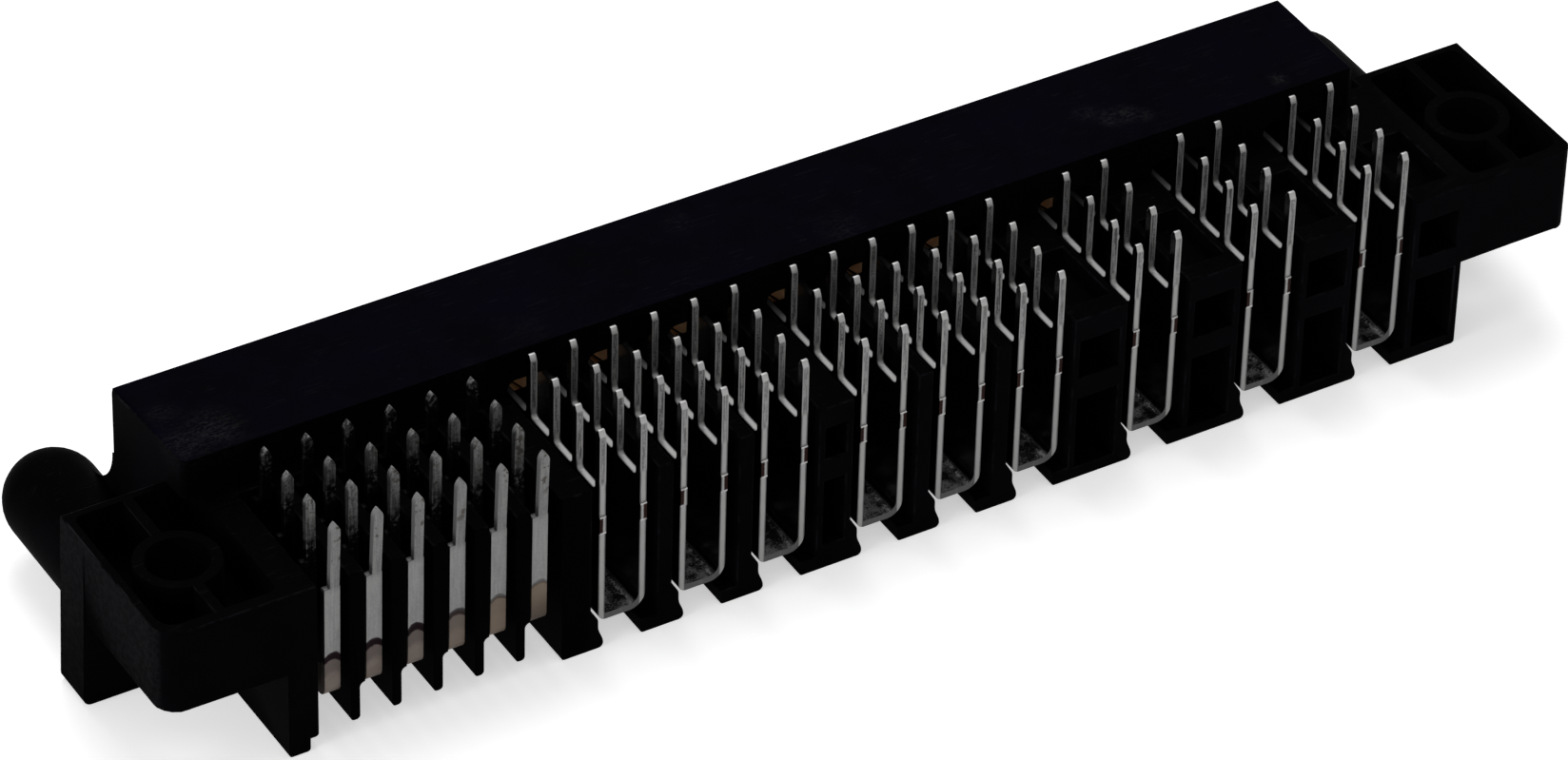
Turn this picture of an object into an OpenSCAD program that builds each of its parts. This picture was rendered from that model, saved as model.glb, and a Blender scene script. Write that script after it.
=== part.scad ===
// Right-angle board connector with power and signal contacts, tails upwards.
// Sizes are in millimetres. X runs along the contact row, Y from the open rear
// face to the mating side, and Z from the feet up to the board and the tails.

/* [Contact layout] */
// Grid pitch of the board holes and of the signal contacts
pitch = 2.54; // [2.3:0.01:2.8]
// Rows of tails, one behind the other
tail_rows = 4; // [2:1:5]
// Columns of signal contacts
signal_cols = 6; // [2:1:8]
// Step between power contacts that stand close together
close_step = 5.08; // [4.8:0.01:6.5]
// Step across the wall between the first and the second group
mid_step = 6.35; // [5.6:0.01:8]
// Step between power contacts that stand wide apart
wide_step = 7.62; // [6.6:0.01:10]
// From the last signal column to the first power plate
signal_to_power = 3.81; // [3.4:0.01:6]

/* [Power contacts] */
// Distance between the two plates of a contact, centre to centre
plate_gap = 2.54; // [2.3:0.01:2.8]
// Thickness of the sheet
sheet_t = 0.4; // [0.3:0.05:0.5]
// Width of a tail along Y
tail_w = 0.5; // [0.4:0.02:0.8]
// Length of a power tail beyond the board seat
tail_len = 3.45; // [2.5:0.05:5]
// Width of each of the two slants on a tail tip
tip_cut = 0.17; // [0.05:0.01:0.2]
// Height of those slants
tip_rise = 0.35; // [0.2:0.05:0.9]
// Inner radius where a tail leaves its plate
tail_fillet = 0.3; // [0.1:0.05:0.5]
// Top edge of the plates below the board seat
plate_drop = 0.75; // [0.4:0.05:1.2]
// Underside of the folded web above the feet
web_lift = 1.6; // [1.2:0.05:2]
// Inner radius of the tight fold
tight_fold_r = 0.1; // [0.05:0.05:0.6]
// Inner radius of the round fold
round_fold_r = 0.6; // [0.3:0.05:0.8]
// Height of the cut-off mark on the rear edge of each plate
nib_h = 1.2; // [0.6:0.1:2]
// How far the cut-off mark stands out of the edge
nib_out = 0.08; // [0.04:0.02:0.2]
// Lower end of the cut-off mark above the feet
nib_z = 7.7; // [5:0.1:8]
// Reach of the folded web into the mating block
web_reach = 0.7; // [0.2:0.1:1.5]
// Length of the flat plate inside the mating block, before its beams
beam_root = 2.2; // [1.6:0.1:2.6]
// Gripping beams on each plate
beams = 3; // [2:1:4]
// Slit between neighbouring beams of a plate
beam_slit = 0.5; // [0.3:0.05:0.8]
// Gap between facing beams where they grip the mating blade
beam_nip = 0.9; // [0.7:0.05:1.2]
// How far each beam tip opens again
beam_flare = 0.4; // [0.1:0.05:0.5]

/* [Signal contacts] */
// Width of the bar and leg
bar_w = 0.95; // [0.8:0.05:1.1]
// Thickness of the strip
bar_t = 0.4; // [0.3:0.05:0.5]
// Width of the tail
pin_w = 0.56; // [0.4:0.02:0.7]
// Length of a signal tail of the first row beyond the board seat
pin_len = 3.47; // [2.5:0.01:5]
// How much shorter the tails of each row are than those of the row before
tail_step = 0.15; // [0:0.01:0.3]
// How far the bars stand nearer the block than the middle of their tail row
bar_set = 0.15; // [0:0.01:0.2]
// How far the tail sits beside the middle of its bar
pin_off = 0.16; // [0:0.01:0.2]
// Length of the point on the tail
pin_point = 0.6; // [0.4:0.05:1]
// Shoulder of the bar below the board seat
shoulder_drop = 0.9; // [0.4:0.05:1]
// Underside of the lowest leg above the feet
first_leg = 2.75; // [2.2:0.05:3.2]
// Inner radius of the bend
bend_r = 0.3; // [0.1:0.05:0.5]
// Height of the fork that takes the mating pin
fork_h = 1.3; // [1:0.05:1.5]
// Thickness of the fork's cheeks
fork_t = 0.2; // [0.15:0.05:0.3]
// Gap between the fork's cheeks where they grip the pin
fork_nip = 0.42; // [0.3:0.02:0.5]

/* [Housing] */
// From the rear face to the middle of the first tail row
row_in = 0.57; // [0.5:0.01:1.5]
// From the middle of the last tail row to the mating block
row_to_block = 1.65; // [1.4:0.05:3]
// From the underside of the highest leg to the board seat
leg_cover = 0.88; // [0.8:0.02:1.5]
// Depth of the mating block along Y
block_depth = 7.85; // [7.2:0.05:10]
// Height of the mating block above the board seat
block_rise = 2.6; // [1.6:0.1:4]
// Radius of the mating block's upright rear edges
block_edge_r = 0.4; // [0.1:0.05:1]
// Radius of the mating block's upper side edges
block_top_r = 0.4; // [0.1:0.05:1]
// How far the left side of the mating block spreads towards the mating face
block_flare = 0.36; // [0:0.02:0.6]
// Chamfer round the mating face
block_chamfer = 0.2; // [0.1:0.05:0.8]
// How far the mating block overhangs the left end wall
block_over = 1.05; // [0.5:0.05:2]
// How far the mating block stops short of the right end wall's outside
block_short = 1.4; // [0.5:0.05:2.2]
// Thickness of the mating face
front_wall = 1.2; // [0.8:0.1:2]
// Clearance between a power plate and the comb wall beside it
wall_gap = 0.6; // [0.4:0.05:0.8]
// From a signal column's middle to the wall beside it
col_gap = 1.14; // [0.8:0.02:1.3]
// Thickness of the ribs between signal columns
rib_t = 0.9; // [0.6:0.05:1.1]
// Thickness of their lower ends, which are stepped back on the right
rib_foot_t = 0.57; // [0.45:0.01:0.9]
// Top of those lower ends above the feet
rib_step_z = 3.2; // [2.4:0.05:4]
// Radius on the lower edges of those ribs
rib_end_r = 0.22; // [0.1:0.02:0.22]
// Lower end of those ribs above the feet
rib_lift = 1.05; // [0.4:0.05:1.5]
// Thickness of the left end wall
left_wall_t = 1.8; // [1.4:0.05:3]
// Thickness of the right end wall
right_wall_t = 3.48; // [2.6:0.02:5]
// Depth of the shelf behind the signal tails
shelf_t = 0.8; // [0.4:0.05:0.9]

/* [Feet of the walls] */
// Height of the lip under a power plate
lip_h = 0.9; // [0.5:0.05:1.1]
// How far the lip reaches beyond the plate's middle
lip_under = 0.25; // [-0.2:0.01:0.4]
// How far the flared side of a foot spreads at its lower end
flare_out = 0.75; // [0.3:0.01:0.8]
// How far it spreads at its neck
flare_neck = 0.43; // [0.2:0.01:0.5]
// Height of the curve from the lower end to the neck
flare_h = 1.2; // [0.6:0.05:1.4]
// Radius on the lower edge of the flare
flare_r = 0.3; // [0.1:0.05:0.4]
// Lower and upper end of the slope that leads from the neck to the wall
ledge = [2.0, 2.73]; // [1.8:0.01:3.5]
// Radius on the lower edges of a foot
foot_r = 0.2; // [0.1:0.05:0.35]
// Step on the inside of the left end wall's foot
foot_step = 0.5; // [0.2:0.05:0.8]
// Height of that step
foot_step_h = 1.05; // [0.6:0.05:1.4]

/* [Cored pockets] */
// Rim left beside a pocket in a wall
core_rim = 0.43; // [0.3:0.01:0.6]
// Depth of the pockets in the rear face
core_depth = 4.5; // [2:0.1:6]
// Lower and upper end of the lower rear pocket
core_low = [0.75, 5.6]; // [0.4:0.05:6]
// Lower and upper end of the upper rear pocket
core_high = [7.1, 9.65]; // [6:0.05:9.6]
// The same two pockets in the wall between the first two groups
slim_low = [1.6, 6.1]; // [0.4:0.05:6.4]
slim_high = [7.7, 9.8]; // [6.8:0.05:9.9]
// Rear end of the pockets in the tops of the wide walls
top_core_y = 1.35; // [0.8:0.05:2]
// Length of those pockets
top_core_l = 4.9; // [2:0.1:6]
// Depth of those pockets
top_core_depth = 1.1; // [0.4:0.05:1.2]

/* [Power cavities] */
// Clearance under the folded web in the mating block
seat_gap = 0.05; // [0.02:0.01:0.15]
// Clearance beside the plates in the mating block
cavity_gap = 0.42; // [0.3:0.02:0.8]
// How far the windows of the cavities rise above the board seat
window_rise = 0.55; // [-0.2:0.05:0.8]
// Radius in the cavity's upper corners
cavity_r = 0.6; // [0.2:0.05:1]
// Clearance in front of the contact tips
tip_gap = 0.1; // [0.05:0.05:0.4]
// Width of the slot for the mating blade
slot_w = 1.4; // [1.1:0.05:1.7]
// Depth of the lead-in round each slot and pin hole
lead_in = 0.4; // [0.2:0.05:0.6]

/* [Signal cavities] */
// Clearance round the leg and the fork
leg_gap = 0.08; // [0.04:0.01:0.15]
// Side of the square hole for the mating pin
pin_hole = 0.9; // [0.7:0.05:1]

/* [Ears and guide posts] */
// Width of an ear beyond its end wall
ear_w = 7.4; // [6.8:0.1:12]
// Thickness of an ear
ear_t = 5.45; // [4:0.05:8]
// Radius of the left ear's rear corner
left_ear_r = 1.5; // [0.3:0.1:2.5]
// Radius of the right ear's rear corner
right_ear_r = 0.9; // [0.3:0.1:2.5]
// Radius of the upright front edges of the ears
ear_front_r = 0.1; // [0.05:0.05:0.6]
// Thickness of the flange under an ear
flange_t = 2.75; // [2:0.05:4]
// How much wider the flange is at the feet than at its ear
flange_draft = 0.33; // [0:0.01:0.5]
// Radius on the lower outer corner of the flange
flange_foot_r = 0.5; // [0.2:0.1:1]
// How far the flange reaches past the block's rear face
flange_lead = 2.1; // [1:0.05:3]
// Outside edge of the left and of the right ear to the middle of its screw boss
boss_in = [3.8, 3.62]; // [3.5:0.02:4.2]
// Outside edge of an ear to the middle of its guide post
post_in = 4.17; // [3.6:0.01:4.2]
// Outer diameter of the screw boss
boss_d = 4.9; // [4.4:0.05:5.4]
// Diameter of the screw hole
boss_hole = 3.65; // [3:0.05:3.9]
// From the rear face to the middle of the screw boss
boss_y = 5.6; // [4.6:0.05:6.6]
// Depth of the pocket in an ear's top
ear_core_depth = 3; // [1:0.1:3.5]
// Rim left at the outside and front of the ear's pocket
ear_rim = 0.5; // [0.4:0.05:1]
// Rim left at the rear of the ear's pocket
ear_rear_rim = 0.75; // [0.4:0.05:1.2]
// Rim left between the ear's pocket and the end wall, left and right
ear_inner_rim = [0.1, 0.8]; // [0.05:0.05:1]
// Thickness of the two ribs that tie the boss to the rims
ear_rib_t = 0.6; // [0.4:0.05:1]
// Diameter of a guide post
post_d = 5.79; // [4.5:0.01:6]
// Length of a guide post in front of its flange
post_len = 12.4; // [8:0.05:18]
// Middle of the guide posts above the feet
post_h = 4.1; // [3.2:0.05:5]
// Fillet where the left guide post leaves the mating face
post_fillet = 2.6; // [0.3:0.1:3]

/* [Hidden] */
// Overlap that keeps neighbouring solids and cuts from sharing a face
eps = 0.01;
$fn = 48;
arc_steps = 5;
beam_steps = 8;
// Where along its length a beam grips, from its root
grip_at = 0.75;
// Colours of the moulding and of the two kinds of contact
moulding_colour = [0.06, 0.06, 0.07];
power_colour = [0.78, 0.78, 0.76];
signal_colour = [0.74, 0.73, 0.7];

// Power contacts: the steps between them, and the left plate of each in X
steps = [close_step, close_step, mid_step, close_step, close_step, wide_step, wide_step, wide_step];
power_count = len(steps) + 1;
function power_x(i) = i == 1 ? 0 : power_x(i - 1) + steps[i - 2];
plate_out = sheet_t / 2 + wall_gap;

// Signal contacts: the middle of each column in X and of each row in Y
function col_x(c) = -signal_to_power - (signal_cols - c) * pitch;
function row_y(r) = row_in + (r - 1) * pitch;
function bar_y(r) = row_y(r) + bar_set;
function leg_z(r) = first_leg + (r - 1) * pitch;

// Heights above the feet
seat_h = leg_z(tail_rows) + leg_cover;
block_h = seat_h + block_rise;
plate_h = seat_h - plate_drop;
plate_foot = web_lift + sheet_t + round_fold_r;
fork_drop = fork_h - bar_t;

// Depths from the rear face
block_y = row_y(tail_rows) + row_to_block;
front_y = block_y + block_depth;
cavity_front = front_y - front_wall;
tips_y = cavity_front - tip_gap;
plate_y = row_in - tail_w / 2;
ear_front = block_y + flange_lead;
total_y = ear_front + post_len;

// The end walls' outer faces and the ears' outer faces
left_face = col_x(1) - col_gap - left_wall_t;
right_in = power_x(power_count) + plate_gap + plate_out;
right_face = right_in + right_wall_t;
left_ear = left_face - ear_w;
right_ear = right_face + ear_w;

// Moves the part so that its box is centred on X and Y
module centred() {
    translate([-(left_ear + right_ear) / 2, -total_y / 2, 0]) children();
}

// Points of an arc about [x, y], from angle a to angle b
function arc(x, y, r, a, b) =
    [for (k = [0:arc_steps]) let (t = a + (b - a) * k / arc_steps) [x + r * cos(t), y + r * sin(t)]];

// Extrudes an outline drawn in X and Z along Y, from y0 to y1
module along_y(y0, y1) {
    translate([0, y1, 0]) rotate([90, 0, 0]) linear_extrude(y1 - y0) children();
}

// Extrudes an outline drawn in Y and Z along X, from x0 to x1
module along_x(x0, x1) {
    translate([x0, 0, 0]) rotate([90, 0, 90]) linear_extrude(x1 - x0) children();
}

// A box from one corner to the other
module span(a, b) {
    translate(a) cube(b - a);
}

// A rectangle with its own radius at each corner, in the order
// left rear, right rear, right front, left front
module rounded(x0, y0, x1, y1, r) {
    polygon(concat(
        arc(x0 + r[0], y0 + r[0], r[0], 180, 270),
        arc(x1 - r[1], y0 + r[1], r[1], 270, 360),
        arc(x1 - r[2], y1 - r[2], r[2], 0, 90),
        arc(x0 + r[3], y1 - r[3], r[3], 90, 180)
    ));
}

// A wall of the comb seen from behind. Its foot has a lip to the left that
// runs under a plate, and flares to the right, each only where it is asked for.
module wall_outline(x0, x1, lip, flare) {
    left = x0 - lip;
    right = x1 + flare;
    polygon(concat(
        [[x0, seat_h], [x0, lip_h]],
        lip > 0 ? [[left, lip_h]] : [],
        arc(left + foot_r, foot_r, foot_r, 180, 270),
        flare > 0 ? flare_curve(x1) : arc(right - foot_r, foot_r, foot_r, 270, 360),
        [[x1, seat_h]]
    ));
}

// The side of a flared foot, from its round lower edge over an S-shaped curve
// to its neck, and over the ledge's slope to the wall's face
function flare_curve(x) = concat(
    arc(x + flare_out - flare_r, flare_r, flare_r, 270, 360),
    [for (k = [1:beam_steps]) let (t = k / beam_steps)
        [x + flare_neck + (flare_out - flare_neck) * (1 + cos(180 * t)) / 2, flare_r + flare_h * t]],
    [[x + flare_neck, ledge[0]], [x, ledge[1]]]
);

// The left end wall, whose foot is stepped back on the inside
module left_wall_outline() {
    inner = left_face + left_wall_t;
    polygon(concat(
        arc(left_face + foot_r, foot_r, foot_r, 180, 270),
        arc(inner - foot_step - foot_r, foot_r, foot_r, 270, 360),
        [[inner - foot_step, foot_step_h - foot_r]],
        arc(inner - foot_r, foot_step_h, foot_r, 270, 360),
        [[inner, seat_h], [left_face, seat_h]]
    ));
}

module comb_walls() {
    root = block_y + front_wall;
    lip = plate_out + lip_under;
    along_y(0, root) left_wall_outline();
    along_y(0, root) wall_outline(col_x(signal_cols) + col_gap, -plate_out, 0, flare_out);
    for (i = [1:power_count - 1])
        along_y(0, root)
            wall_outline(power_x(i) + plate_gap + plate_out, power_x(i + 1) - plate_out, lip, flare_out);
    along_y(0, root) wall_outline(right_in, right_face, lip, 0);
}

// A rib seen from behind, stepped back on the right below the signal bars
module rib_outline() {
    step = rib_t - rib_foot_t;
    polygon(concat(
        arc(rib_end_r, rib_end_r, rib_end_r, 180, 270),
        arc(rib_foot_t - rib_end_r, rib_end_r, rib_end_r, 270, 360),
        arc(rib_t, rib_step_z - rib_lift, step, 180, 90),
        [[rib_t, seat_h - rib_lift], [0, seat_h - rib_lift]]
    ));
}

// Thin ribs between the signal columns
module signal_ribs() {
    for (c = [1:signal_cols - 1])
        translate([(col_x(c) + col_x(c + 1) - rib_t) / 2, 0, rib_lift])
            along_y(0, block_y + eps) rib_outline();
}

module signal_shelf() {
    x0 = col_x(1) - col_gap - eps;
    x1 = col_x(signal_cols) + col_gap + eps;
    span([x0, block_y - shelf_t, rib_lift + rib_t / 2], [x1, block_y + eps, seat_h]);
}

// The mating block: three outlines crossed, from above with round upright rear
// edges, from the side with chamfers, and from behind with round upper edges
module mating_block() {
    x0 = left_face - block_over;
    x1 = right_face - block_short;
    wide = x0 - block_flare;
    c = block_chamfer;
    r = block_top_r;
    intersection() {
        linear_extrude(block_h) polygon(concat(
            arc(x0 + block_edge_r, block_y + block_edge_r, block_edge_r, 180, 270),
            arc(x1 - block_edge_r, block_y + block_edge_r, block_edge_r, 270, 360),
            [[x1, front_y - c], [x1 - c, front_y], [wide + c, front_y], [wide, front_y - c]]
        ));
        along_x(wide - r, x1 + r) polygon([
            [block_y, 0], [front_y - c, 0], [front_y, c],
            [front_y, block_h - c], [front_y - c, block_h], [block_y, block_h]
        ]);
        along_y(block_y - r, front_y + r) polygon(concat(
            [[wide, -r], [x1, -r]],
            arc(x1 - r, block_h - r, r, 0, 90),
            arc(wide + r, block_h - r, r, 90, 180)
        ));
    }
}

// An ear. side is -1 on the left and 1 on the right.
module ear(side) {
    left = side < 0;
    x0 = left ? left_ear : right_face - eps;
    x1 = left ? left_face + eps : right_ear;
    radii = left ? [left_ear_r, 0, 0, ear_front_r] : [0, right_ear_r, ear_front_r, 0];
    translate([0, 0, seat_h - ear_t]) linear_extrude(ear_t) rounded(x0, 0, x1, ear_front, radii);
}

// The flange that stands under an ear's front, down to the feet
module flange(side) {
    low = ear_w + flange_draft;
    translate([side < 0 ? left_face : right_face, 0, 0]) mirror([side < 0 ? 1 : 0, 0, 0])
        along_y(ear_front - flange_t, ear_front) polygon(concat(
            [[-eps, 0]],
            arc(low - flange_foot_r, flange_foot_r, flange_foot_r, 270, 360),
            [[ear_w, seat_h], [-eps, seat_h]]
        ));
}

// Middle of an ear's screw boss and of its guide post in X
function boss_x(side) = side < 0 ? left_ear + boss_in[0] : right_ear - boss_in[1];
function post_x(side) = side < 0 ? left_ear + post_in : right_ear - post_in;

// What is cored out of an ear's top round its boss and ribs
module ear_pocket(side) {
    left = side < 0;
    x0 = left ? left_ear + ear_rim : right_face + ear_inner_rim[1];
    x1 = left ? left_face - ear_inner_rim[0] : right_ear - ear_rim;
    round_r = left ? [left_ear_r - ear_rim, ear_rim, ear_rim, ear_rim]
                   : [ear_rim, right_ear_r, ear_rim, ear_rim];
    translate([0, 0, seat_h - ear_core_depth]) linear_extrude(ear_core_depth + eps) difference() {
        rounded(x0, ear_rear_rim, x1, ear_front - ear_rim, round_r);
        translate([boss_x(side), boss_y]) circle(d = boss_d);
        translate([boss_x(side) - ear_rib_t / 2, 0]) square([ear_rib_t, ear_front]);
    }
}

module screw_hole(side) {
    translate([boss_x(side), boss_y, seat_h - ear_t - eps]) cylinder(d = boss_hole, h = ear_t + 2 * eps);
}

// A guide post with a round end
module guide_post(side) {
    shank = post_len - post_d / 2;
    translate([post_x(side), ear_front, post_h]) rotate([-90, 0, 0]) {
        translate([0, 0, -eps]) cylinder(d = post_d, h = shank + eps);
        translate([0, 0, shank]) sphere(d = post_d);
    }
}

// The fillet where the left guide post leaves the mating face, ending flush
// with the block's side
module post_root() {
    reach = post_d / 2 + post_fillet;
    wide = left_face - block_over - block_flare;
    intersection() {
        translate([post_x(-1), front_y, post_h]) rotate([-90, 0, 0]) rotate_extrude() difference() {
            translate([0, -block_chamfer]) square([reach, block_chamfer + post_fillet]);
            translate([reach, post_fillet]) circle(r = post_fillet);
        }
        span([wide, front_y - block_chamfer - eps, block_chamfer], [left_face + reach, total_y, block_h]);
    }
}

// A lead-in that narrows from the mating face inwards, as two crossed wedges
module lead_in_cut(x, z, w, h) {
    a = lead_in;
    y0 = front_y - a;
    y1 = front_y + eps;
    intersection() {
        translate([0, 0, z - h / 2 - a]) linear_extrude(h + 2 * a) polygon([
            [x - w / 2, y0], [x + w / 2, y0], [x + w / 2 + a, y1], [x - w / 2 - a, y1]
        ]);
        along_x(x - w / 2 - a, x + w / 2 + a) polygon([
            [y0, z - h / 2], [y1, z - h / 2 - a], [y1, z + h / 2 + a], [y0, z + h / 2]
        ]);
    }
}

// The cavity of one power contact, its blade slot and the slot's lead-in
module power_cavity(i) {
    x0 = power_x(i) - sheet_t / 2 - cavity_gap;
    x1 = power_x(i) + plate_gap + sheet_t / 2 + cavity_gap;
    top = seat_h + window_rise;
    floor_z = web_lift - seat_gap;
    mid = (x0 + x1) / 2;
    slot_z = (plate_foot + plate_h) / 2;
    slot_h = plate_h - plate_foot + 2 * seat_gap;
    along_y(block_y - eps, cavity_front) {
        translate([x0, floor_z]) square([x1 - x0, top - cavity_r - floor_z]);
        translate([x0 + cavity_r, floor_z]) square([x1 - x0 - 2 * cavity_r, top - floor_z]);
        translate([x0 + cavity_r, top - cavity_r]) circle(r = cavity_r);
        translate([x1 - cavity_r, top - cavity_r]) circle(r = cavity_r);
    }
    span([mid - slot_w / 2, cavity_front - eps, slot_z - slot_h / 2],
         [mid + slot_w / 2, front_y + eps, slot_z + slot_h / 2]);
    lead_in_cut(mid, slot_z, slot_w, slot_h);
}

// The cavity of one signal contact, its pin hole and the hole's lead-in
module signal_cavity(c, r) {
    x = col_x(c);
    w = bar_w + 2 * leg_gap;
    z0 = leg_z(r) - fork_drop - leg_gap;
    z1 = leg_z(r) + bar_t + leg_gap;
    mid = (z0 + z1) / 2;
    span([x - w / 2, block_y - shelf_t - eps, z0], [x + w / 2, cavity_front, z1]);
    span([x - pin_hole / 2, cavity_front - eps, mid - pin_hole / 2],
         [x + pin_hole / 2, front_y + eps, mid + pin_hole / 2]);
    lead_in_cut(x, mid, pin_hole, pin_hole);
}

// One cored pocket pair in the rear face of a wall
module rear_cores(x0, x1, low, high) {
    for (band = [low, high])
        span([x0 + core_rim, -eps, band[0]], [x1 - core_rim, core_depth, band[1]]);
}

// The cored pocket in the top of a wide wall
module top_core(x0, x1) {
    span([x0 + core_rim, top_core_y, seat_h - top_core_depth],
         [x1 - core_rim, top_core_y + top_core_l, seat_h + eps]);
}

module wall_cores() {
    for (i = [1:power_count - 1]) {
        x0 = power_x(i) + plate_gap + plate_out;
        x1 = power_x(i + 1) - plate_out;
        if (steps[i - 1] == wide_step) {
            rear_cores(x0, x1, core_low, core_high);
            top_core(x0, x1);
        }
        if (steps[i - 1] == mid_step)
            rear_cores(x0, x1, slim_low, slim_high);
    }
    rear_cores(right_in, right_face, core_low, core_high);
    top_core(right_in, right_face);
}

module housing() {
    color(moulding_colour) centred() difference() {
        union() {
            mating_block();
            comb_walls();
            signal_ribs();
            signal_shelf();
            for (side = [-1, 1]) {
                ear(side);
                flange(side);
                guide_post(side);
            }
            post_root();
        }
        for (i = [1:power_count]) power_cavity(i);
        for (c = [1:signal_cols]) for (r = [1:tail_rows]) signal_cavity(c, r);
        wall_cores();
        for (side = [-1, 1]) {
            ear_pocket(side);
            screw_hole(side);
        }
    }
}

// A quarter of a folded strip, in the lower left of its centre
module fold(r_in) {
    r_out = r_in + sheet_t;
    intersection() {
        difference() {
            circle(r = r_out);
            circle(r = r_in);
        }
        translate([-r_out, -r_out]) square(r_out);
    }
}

// The folded bottom of a power contact seen from behind
module web_outline() {
    left = -sheet_t / 2;
    right = plate_gap + sheet_t / 2;
    tight = tight_fold_r + sheet_t;
    wide = round_fold_r + sheet_t;
    translate([left + tight, web_lift + tight]) fold(tight_fold_r);
    translate([right - wide, web_lift + wide]) mirror([1, 0]) fold(round_fold_r);
    translate([left + tight, web_lift]) square([right - left - tight - wide, sheet_t]);
    translate([left, web_lift + tight]) square([sheet_t, plate_foot - web_lift - tight + eps]);
}

// One plate of a power contact seen from the side, with its tails
module plate_outline() {
    translate([plate_y, plate_foot]) square([block_y + beam_root - plate_y, plate_h - plate_foot]);
    translate([plate_y - nib_out, nib_z]) square([nib_out + eps, nib_h]);
    for (r = [1:tail_rows]) translate([row_y(r), 0]) tail_outline(r > 1);
}

// A tail with a tip that slants on both sides, and a fillet on each side of its
// foot. The first tail is flush with the plate's rear edge, so it has no fillet there.
module tail_outline(rear_fillet) {
    w = tail_w / 2;
    top = seat_h + tail_len;
    polygon([
        [-w, plate_h - eps], [-w, top - tip_rise], [tip_cut - w, top],
        [w - tip_cut, top], [w, top - tip_rise], [w, plate_h - eps]
    ]);
    for (s = rear_fillet ? [-1, 1] : [1])
        translate([s * (w + tail_fillet / 2), plate_h + tail_fillet / 2]) difference() {
            square([tail_fillet, tail_fillet + eps], center = true);
            translate([s * tail_fillet / 2, tail_fillet / 2]) circle(r = tail_fillet);
        }
}

// Path of a gripping beam in X and Y: straight, easing in to the nip, and
// turning out again at its tip
function beam_path(x0, nip, flare, y0, y1) =
    let (grip = y0 + grip_at * (y1 - y0))
    concat(
        [for (k = [0:beam_steps]) let (t = k / beam_steps)
            [x0 + (nip - x0) * (1 - cos(180 * t)) / 2, y0 + (grip - y0) * t]],
        [for (k = [1:beam_steps]) let (t = k / beam_steps)
            [nip + flare * (1 - cos(90 * t)), grip + (y1 - grip) * t]]
    );

// A strip of sheet along a path, its thickness measured in X
module strip(path, t) {
    n = len(path) - 1;
    polygon(concat(
        [for (p = path) [p[0] - t / 2, p[1]]],
        [for (k = [0:n]) [path[n - k][0] + t / 2, path[n - k][1]]]
    ));
}

module power_beams() {
    y0 = block_y + beam_root - eps;
    span_z = plate_h - plate_foot;
    h = (span_z - (beams - 1) * beam_slit) / beams;
    half = plate_gap / 2;
    nip = (beam_nip + sheet_t) / 2;
    path = beam_path(half, nip, beam_flare, y0, tips_y);
    for (k = [0:beams - 1])
        translate([half, 0, plate_foot + k * (h + beam_slit)]) linear_extrude(h) {
            strip(path, sheet_t);
            mirror([1, 0]) strip(path, sheet_t);
        }
}

module power_contact(i) {
    color(power_colour) centred() translate([power_x(i), 0, 0]) {
        along_y(plate_y, block_y + web_reach) web_outline();
        for (x = [0, plate_gap]) along_x(x - sheet_t / 2, x + sheet_t / 2) plate_outline();
        power_beams();
    }
}

// A signal contact's bar, bend and leg seen from the side
module leg_outline(r) {
    y0 = bar_y(r) - bar_t / 2;
    z0 = leg_z(r);
    r_out = bend_r + bar_t;
    shoulder = max(seat_h - shoulder_drop, z0 + r_out);
    translate([y0, z0 + r_out - eps]) square([bar_t, shoulder - z0 - r_out + eps]);
    translate([y0 + r_out, z0 + r_out]) intersection() {
        difference() {
            circle(r = r_out);
            circle(r = bend_r);
        }
        translate([-r_out, -r_out]) square(r_out);
    }
    translate([y0 + r_out - eps, z0]) square([block_y + beam_root - y0 - r_out, bar_t]);
}

// A signal tail seen from behind, with a rounded point made by two arcs
module pin_outline(r) {
    w = pin_w / 2;
    top = seat_h + pin_len - (r - 1) * tail_step;
    base = top - pin_point;
    big = (pin_point * pin_point + w * w) / (2 * w);
    foot = max(seat_h - shoulder_drop, leg_z(r) + bend_r + bar_t) - eps;
    translate([-w, foot]) square([pin_w, base - foot]);
    intersection() {
        translate([big - w, base]) circle(r = big);
        translate([w - big, base]) circle(r = big);
        translate([-w, base - eps]) square([pin_w, pin_point]);
    }
}

// The two cheeks of a fork, which hang from the leg and grip the mating pin
module fork(r) {
    y0 = block_y + beam_root - fork_h;
    y1 = block_y + beam_root;
    side = (bar_w - fork_t) / 2;
    nip = (fork_nip + fork_t) / 2;
    path = concat([[side, y0]], beam_path(side, nip, side - nip, y1, tips_y));
    translate([0, 0, leg_z(r) - fork_drop]) linear_extrude(fork_h) {
        strip(path, fork_t);
        mirror([1, 0]) strip(path, fork_t);
    }
}

module signal_contact(c, r) {
    color(signal_colour) centred() translate([col_x(c), 0, 0]) {
        along_x(-bar_w / 2, bar_w / 2) leg_outline(r);
        translate([pin_off, 0, 0]) along_y(bar_y(r) - bar_t / 2, bar_y(r) + bar_t / 2) pin_outline(r);
        fork(r);
    }
}

housing();

for (i = [1:power_count])
    power_contact(i);

for (c = [1:signal_cols]) for (r = [1:tail_rows])
    signal_contact(c, r);
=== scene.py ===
import math

import bmesh
import bpy
from mathutils import Matrix, Vector


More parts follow.
